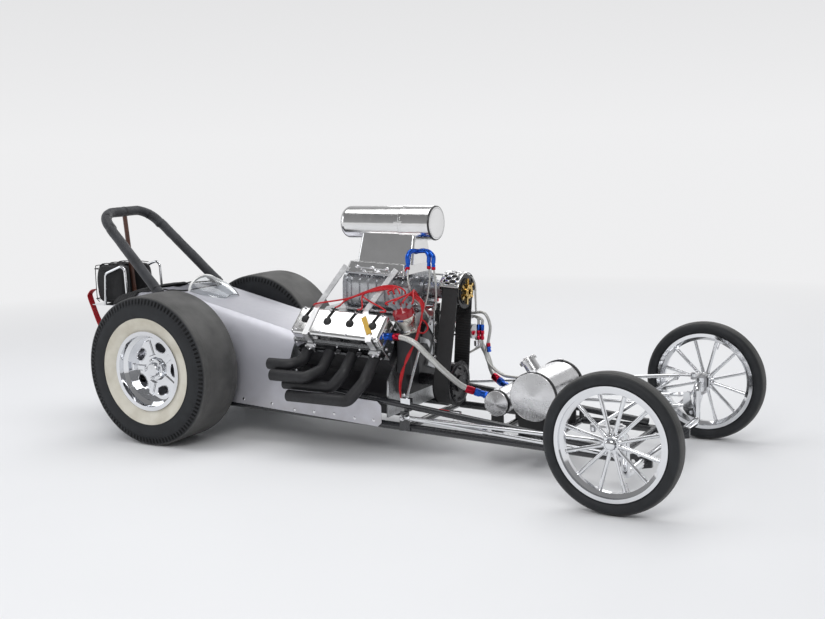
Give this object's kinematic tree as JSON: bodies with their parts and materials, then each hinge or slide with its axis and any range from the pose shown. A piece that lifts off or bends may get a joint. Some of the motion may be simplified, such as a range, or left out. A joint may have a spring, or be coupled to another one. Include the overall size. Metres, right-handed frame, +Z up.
{
  "type": "front-engine race car",
  "caption": "Low open-wheel race car with a supercharged engine ahead of an open cockpit, wire front wheels, wide rear tyres and a roll hoop.",
  "frame": {"origin": "on the floor under the middle of the car's box", "axes": "+X forward, +Y to the car's left, +Z up"},
  "size_m": [3.6589, 1.4206, 1.2049],
  "materials": {
    "wire_wheel_chrome": "polished chrome",
    "rear_wheel_chrome": "polished chrome",
    "front_tyre_rubber": "matte",
    "rear_tyre_rubber": "matte and dusty, with a cream band on the outer side",
    "frame_black": "gloss",
    "sheet_aluminium": "brushed sheet",
    "hoop_padding": "matte foam",
    "brace_brown": "satin",
    "body_silver": "satin metallic",
    "clear_screen": "clear",
    "white_trim": "gloss",
    "seat_shell": "satin sheet",
    "pack_fabric": "woven",
    "bright_chrome": "polished chrome",
    "steering_steel": "satin",
    "cast_aluminium": "cast and lightly polished",
    "wheel_grip": "matte",
    "engine_black": "painted",
    "polished_covers": "polished",
    "header_black": "heat-proof matte",
    "polished_aluminium": "polished",
    "belt_rubber": "matte",
    "magneto_metal": "satin, with a red cap",
    "strap_steel": "polished",
    "spun_aluminium": "spun",
    "band_black": "satin",
    "braided_hose": "braided"
  },
  "bodies": {
    "chassis": {"rear_axle": "frame_black", "frame_left": "frame_black", "frame_right": "frame_black", "crossmembers": "frame_black", "floor_pan": "sheet_aluminium", "roll_hoop": "hoop_padding", "roll_brace": "brace_brown", "side_panel_left": "body_silver", "side_panel_right": "body_silver", "deck_panels": "body_silver", "firewall": "sheet_aluminium", "windscreen": "clear_screen", "screen_trim": "white_trim", "seat": "seat_shell", "parachute_pack": "pack_fabric", "parachute_frame": "bright_chrome", "front_axle": "bright_chrome", "radius_rod_left": "bright_chrome", "radius_rod_right": "bright_chrome", "steering_box": "cast_aluminium", "column_support": "steering_steel", "engine_block": "engine_black", "cylinder_heads": "polished_covers", "valve_covers": "polished_covers", "motor_plates": "sheet_aluminium", "clutch_can": "cast_aluminium", "front_cover": "cast_aluminium", "headers_left": "header_black", "headers_right": "header_black", "intake_manifold": "cast_aluminium", "blower_case": "cast_aluminium", "injector_body": "polished_aluminium", "air_scoop": "polished_aluminium", "scoop_cap": "polished_aluminium", "belt_pulleys": "engine_black", "starter_hub": "polished_aluminium", "blower_belt": "belt_rubber", "belt_idler": "cast_aluminium", "belt_guard": "sheet_aluminium", "magneto": "magneto_metal", "blower_straps": "strap_steel", "engine_struts": "bright_chrome", "tanks": "spun_aluminium", "tank_mounts": "band_black", "breather_hoses": "braided_hose"},
    "knuckle_left": {"knuckle_left": "steering_steel"},
    "knuckle_right": {"knuckle_right": "steering_steel"},
    "wheel_front_left": {"front_rim_left": "wire_wheel_chrome", "front_tyre_left": "front_tyre_rubber"},
    "wheel_front_right": {"front_rim_right": "wire_wheel_chrome", "front_tyre_right": "front_tyre_rubber"},
    "wheel_rear_left": {"rear_rim_left": "rear_wheel_chrome", "rear_tyre_left": "rear_tyre_rubber"},
    "wheel_rear_right": {"rear_rim_right": "rear_wheel_chrome", "rear_tyre_right": "rear_tyre_rubber"},
    "tie_rod": {"tie_rod": "bright_chrome"},
    "drag_link": {"drag_link": "bright_chrome"},
    "pitman_arm": {"pitman_arm": "steering_steel"},
    "steering_wheel": {"steering_wheel": "wheel_grip"}
  },
  "joints": [
    {"name": "steer_left", "type": "hinge", "parent": "chassis", "child": "knuckle_left", "pos_m": [1.5325, 0.565, 0.297], "axis": [0, 0, 1], "range_deg": [-18, 18]},
    {"name": "steer_right", "type": "hinge", "parent": "chassis", "child": "knuckle_right", "pos_m": [1.5325, -0.565, 0.297], "axis": [0, 0, 1], "range_deg": [-18, 18]},
    {"name": "spin_front_left", "type": "hinge", "parent": "knuckle_left", "child": "wheel_front_left", "pos_m": [1.5325, 0.665, 0.297], "axis": [0, 1, 0], "continuous": true},
    {"name": "spin_front_right", "type": "hinge", "parent": "knuckle_right", "child": "wheel_front_right", "pos_m": [1.5325, -0.665, 0.297], "axis": [0, 1, 0], "continuous": true},
    {"name": "spin_rear_left", "type": "hinge", "parent": "chassis", "child": "wheel_rear_left", "pos_m": [-0.9975, 0.4735, 0.389], "axis": [0, 1, 0], "continuous": true},
    {"name": "spin_rear_right", "type": "hinge", "parent": "chassis", "child": "wheel_rear_right", "pos_m": [-0.9975, -0.4735, 0.389], "axis": [0, 1, 0], "continuous": true},
    {"name": "tie_rod_turn", "type": "hinge", "parent": "knuckle_left", "child": "tie_rod", "pos_m": [1.4125, 0.565, 0.323], "axis": [0, 0, 1], "range_deg": [-18, 18]},
    {"name": "drag_link_turn", "type": "hinge", "parent": "knuckle_left", "child": "drag_link", "pos_m": [1.5325, 0.455, 0.363], "axis": [0, 0, 1], "range_deg": [-18, 18]},
    {"name": "pitman_turn", "type": "hinge", "parent": "chassis", "child": "pitman_arm", "pos_m": [-0.5275, 0.328, 0.315], "axis": [0, 1, 0], "range_deg": [-13.5, 13.5]},
    {"name": "steering_wheel_turn", "type": "hinge", "parent": "chassis", "child": "steering_wheel", "pos_m": [-1.1725, 0, 0.61], "axis": [0.9703, 0, -0.2419], "range_deg": [-108, 108]}
  ],
  "couplings": [
    {"joint": "steer_right", "follows": "steer_left", "ratio": 1},
    {"joint": "tie_rod_turn", "follows": "steer_left", "ratio": -1},
    {"joint": "drag_link_turn", "follows": "steer_left", "ratio": -1},
    {"joint": "pitman_turn", "follows": "steer_left", "ratio": -0.7333},
    {"joint": "steering_wheel_turn", "follows": "steer_left", "ratio": -6}
  ]
}
